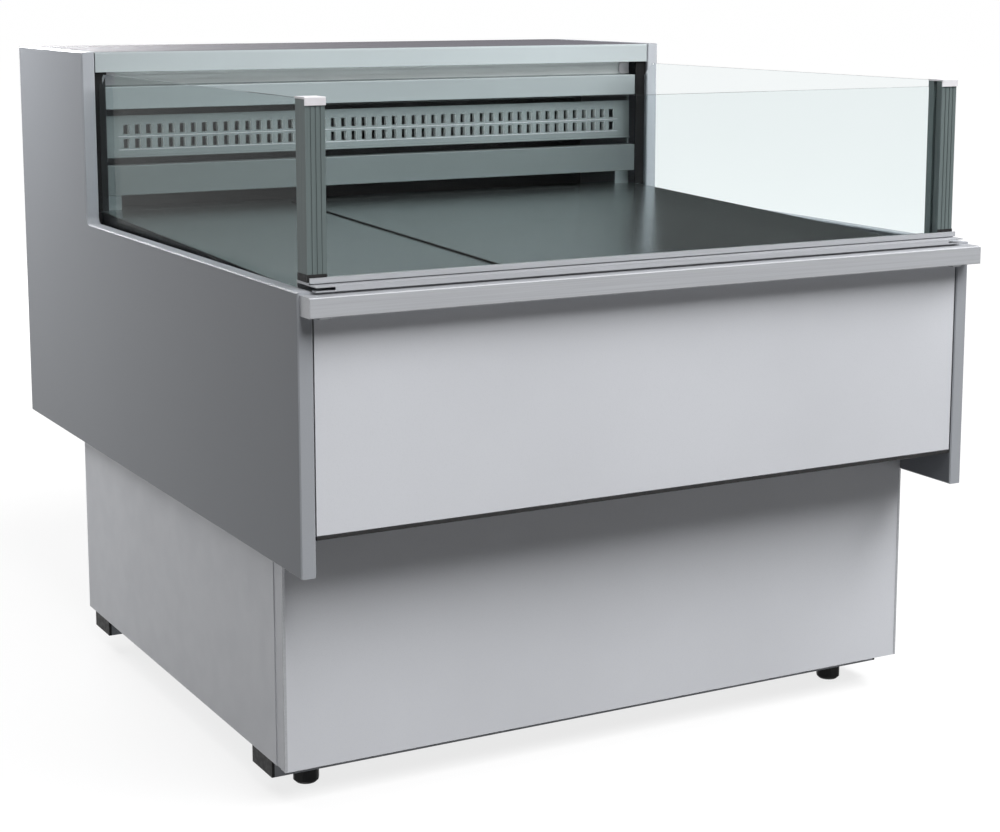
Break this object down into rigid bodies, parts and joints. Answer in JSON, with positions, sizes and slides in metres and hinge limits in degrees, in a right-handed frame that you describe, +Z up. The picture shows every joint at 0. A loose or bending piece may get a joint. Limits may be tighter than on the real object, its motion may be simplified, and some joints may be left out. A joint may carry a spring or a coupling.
{
  "type": "refrigerated display case",
  "caption": "Free-standing open refrigerated display case: machine plinth on levelling feet, insulated tub, sloped lift-out steel deck, glass guard, rear air duct and worktop.",
  "frame": {"origin": "on the floor, under the middle of the whole case", "axes": "+X along the front to the right as seen by a customer, +Y from the customer's side to the back, +Z up"},
  "size_m": [1.04, 1.196, 0.955],
  "materials": {
    "panel_paint": "satin silver-grey powder coat",
    "end_panel_finish": "satin silver-grey coated board",
    "worktop_finish": "satin grey coated board",
    "bumper_aluminium": "satin anodised",
    "post_aluminium": "satin anodised, grooved",
    "cap_plastic": "light grey moulded",
    "tinted_glass": "clear toughened, green tint",
    "deck_steel": "satin, reflecting",
    "duct_paint": "satin grey coat on folded sheet",
    "lamp_lens": "opal, lamp off",
    "tub_liner": "dark liner over foam",
    "frame_steel": "black coat",
    "zinc_sheet": "galvanised",
    "coil_aluminium": "mill finish fins",
    "copper": "drawn copper",
    "compressor_black": "black enamel",
    "black_rubber": "matt",
    "black_plastic": "matt moulded",
    "fan_plastic": "matt moulded",
    "control_plastic": "satin moulded",
    "button_plastic": "matt moulded",
    "rocker_plastic": "satin moulded"
  },
  "bodies": {
    "case": {"air_canopy": "duct_paint", "base_beams": "zinc_sheet", "beam_end_plugs": "black_plastic", "cable_gland": "black_plastic", "compressor": "compressor_black", "compressor_grommets": "black_rubber", "condensate_tray": "fan_plastic", "condenser_coil": "coil_aluminium", "condenser_fan_motor": "zinc_sheet", "condenser_shroud": "zinc_sheet", "control_plate": "black_plastic", "corner_posts": "post_aluminium", "deck_supports": "zinc_sheet", "drain_spout": "fan_plastic", "duct_brackets": "duct_paint", "evaporator_coil": "coil_aluminium", "evaporator_fan_motors": "zinc_sheet", "evaporator_fan_plate": "zinc_sheet", "front_bumper": "bumper_aluminium", "front_glass": "tinted_glass", "front_panel": "panel_paint", "glass_channel": "bumper_aluminium", "lamp_diffuser": "lamp_lens", "lamp_housing": "duct_paint", "left_end_panel": "end_panel_finish", "lower_air_box": "duct_paint", "machine_tray": "zinc_sheet", "panel_screws": "zinc_sheet", "plinth_front_panel": "panel_paint", "plinth_side_panels": "panel_paint", "post_caps": "cap_plastic", "rear_deck_strip": "deck_steel", "rear_grille": "panel_paint", "rear_panel": "panel_paint", "refrigerant_pipes": "copper", "right_end_panel": "end_panel_finish", "side_glasses": "tinted_glass", "slotted_air_panel": "duct_paint", "support_frame": "frame_steel", "temperature_controller": "control_plastic", "top_rail": "bumper_aluminium", "tub_end_walls": "tub_liner", "tub_floor": "tub_liner", "tub_front_wall": "tub_liner", "tub_rear_wall": "tub_liner", "worktop": "worktop_finish"},
    "deck_left": {"deck_left": "deck_steel"},
    "deck_right": {"deck_right": "deck_steel"},
    "evaporator_fan_left": {"evaporator_fan_left": "fan_plastic"},
    "evaporator_fan_right": {"evaporator_fan_right": "fan_plastic"},
    "condenser_fan": {"condenser_fan": "fan_plastic"},
    "foot_front_left": {"foot_front_left": "black_plastic"},
    "foot_front_right": {"foot_front_right": "black_plastic"},
    "foot_rear_left": {"foot_rear_left": "black_plastic"},
    "foot_rear_right": {"foot_rear_right": "black_plastic"},
    "set_button": {"set_button": "button_plastic"},
    "up_button": {"up_button": "button_plastic"},
    "down_button": {"down_button": "button_plastic"},
    "power_rocker": {"power_rocker": "rocker_plastic"},
    "light_rocker": {"light_rocker": "rocker_plastic"}
  },
  "joints": [
    {"name": "deck_left_lift", "type": "slide", "parent": "case", "child": "deck_left", "axis": [0, 0, 1], "range_m": [0, 0.2]},
    {"name": "deck_right_lift", "type": "slide", "parent": "case", "child": "deck_right", "axis": [0, 0, 1], "range_m": [0, 0.2]},
    {"name": "evaporator_fan_left_spin", "type": "hinge", "parent": "case", "child": "evaporator_fan_left", "pos_m": [-0.22, 0.122, 0.542], "axis": [0, 1, 0], "continuous": true},
    {"name": "evaporator_fan_right_spin", "type": "hinge", "parent": "case", "child": "evaporator_fan_right", "pos_m": [0.22, 0.122, 0.542], "axis": [0, 1, 0], "continuous": true},
    {"name": "condenser_fan_spin", "type": "hinge", "parent": "case", "child": "condenser_fan", "pos_m": [-0.18, 0.2275, 0.1715], "axis": [0, 1, 0], "continuous": true},
    {"name": "foot_front_left_turn", "type": "hinge", "parent": "case", "child": "foot_front_left", "pos_m": [-0.437, -0.377, 0.027], "axis": [0, 0, 1], "continuous": true},
    {"name": "foot_front_right_turn", "type": "hinge", "parent": "case", "child": "foot_front_right", "pos_m": [0.437, -0.377, 0.027], "axis": [0, 0, 1], "continuous": true},
    {"name": "foot_rear_left_turn", "type": "hinge", "parent": "case", "child": "foot_rear_left", "pos_m": [-0.437, 0.287, 0.027], "axis": [0, 0, 1], "continuous": true},
    {"name": "foot_rear_right_turn", "type": "hinge", "parent": "case", "child": "foot_rear_right", "pos_m": [0.437, 0.287, 0.027], "axis": [0, 0, 1], "continuous": true},
    {"name": "set_button_press", "type": "slide", "parent": "case", "child": "set_button", "axis": [0, -1, 0], "range_m": [0, 0.0008], "stiffness_N_per_m": 400},
    {"name": "up_button_press", "type": "slide", "parent": "case", "child": "up_button", "axis": [0, -1, 0], "range_m": [0, 0.0008], "stiffness_N_per_m": 400},
    {"name": "down_button_press", "type": "slide", "parent": "case", "child": "down_button", "axis": [0, -1, 0], "range_m": [0, 0.0008], "stiffness_N_per_m": 400},
    {"name": "power_rocker_tilt", "type": "hinge", "parent": "case", "child": "power_rocker", "pos_m": [0.33, 0.588, 0.83], "axis": [1, 0, 0], "range_deg": [0, 14]},
    {"name": "light_rocker_tilt", "type": "hinge", "parent": "case", "child": "light_rocker", "pos_m": [0.366, 0.588, 0.83], "axis": [1, 0, 0], "range_deg": [0, 14]}
  ]
}
